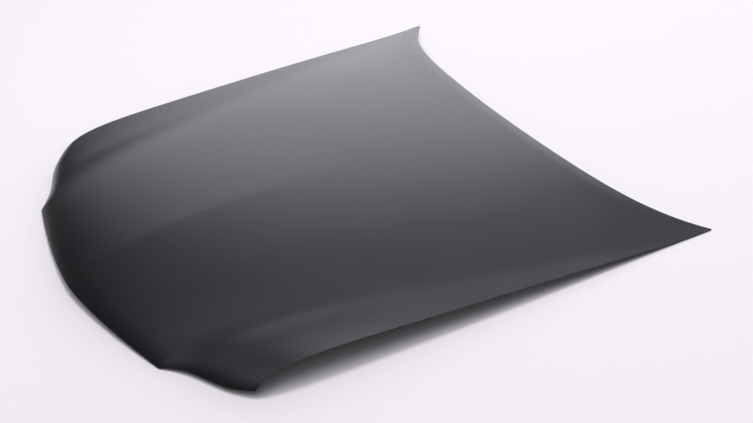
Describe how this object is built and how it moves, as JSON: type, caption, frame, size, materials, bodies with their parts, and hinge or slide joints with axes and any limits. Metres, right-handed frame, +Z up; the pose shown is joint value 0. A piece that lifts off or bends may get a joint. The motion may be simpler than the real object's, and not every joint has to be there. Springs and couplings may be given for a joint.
{
  "type": "car bonnet",
  "caption": "Bare pressed-steel bonnet panel that covers an engine bay: crowned outer skin hemmed round a ribbed inner frame with windows, hinge pads and a latch seat.",
  "frame": {"origin": "middle of the floor under the panel, which lies outer side up on its lip corners and rear corners", "axes": "+X to the right across the car as the driver sits, -Y to the front lip, +Z up out of the outer skin"},
  "size_m": [1.449, 1.1408, 0.0747],
  "materials": {
    "skin_primer": "satin black primer",
    "frame_primer": "thin satin black primer",
    "plate_primer": "thin black primer on thick plate and weld nuts",
    "mastic": "matt cured mastic"
  },
  "bodies": {
    "root": {"outer_skin": "skin_primer", "inner_frame": "frame_primer", "latch_reinforcement": "plate_primer", "striker_nut_left": "plate_primer", "striker_nut_right": "plate_primer", "hinge_reinforcement_left": "plate_primer", "hinge_reinforcement_right": "plate_primer", "hinge_nut_left_front": "plate_primer", "hinge_nut_left_rear": "plate_primer", "hinge_nut_right_front": "plate_primer", "hinge_nut_right_rear": "plate_primer", "mastic_pad_01": "mastic", "mastic_pad_02": "mastic", "mastic_pad_03": "mastic", "mastic_pad_04": "mastic", "mastic_pad_05": "mastic", "mastic_pad_06": "mastic", "mastic_pad_07": "mastic", "mastic_pad_08": "mastic", "mastic_pad_09": "mastic", "mastic_pad_10": "mastic", "mastic_pad_11": "mastic", "mastic_pad_12": "mastic", "mastic_pad_13": "mastic", "mastic_pad_14": "mastic", "mastic_pad_15": "mastic", "mastic_pad_16": "mastic", "mastic_pad_17": "mastic", "mastic_pad_18": "mastic", "mastic_pad_19": "mastic", "mastic_pad_20": "mastic", "mastic_pad_21": "mastic", "mastic_pad_22": "mastic", "mastic_pad_23": "mastic", "mastic_pad_24": "mastic"}
  },
  "joints": []
}
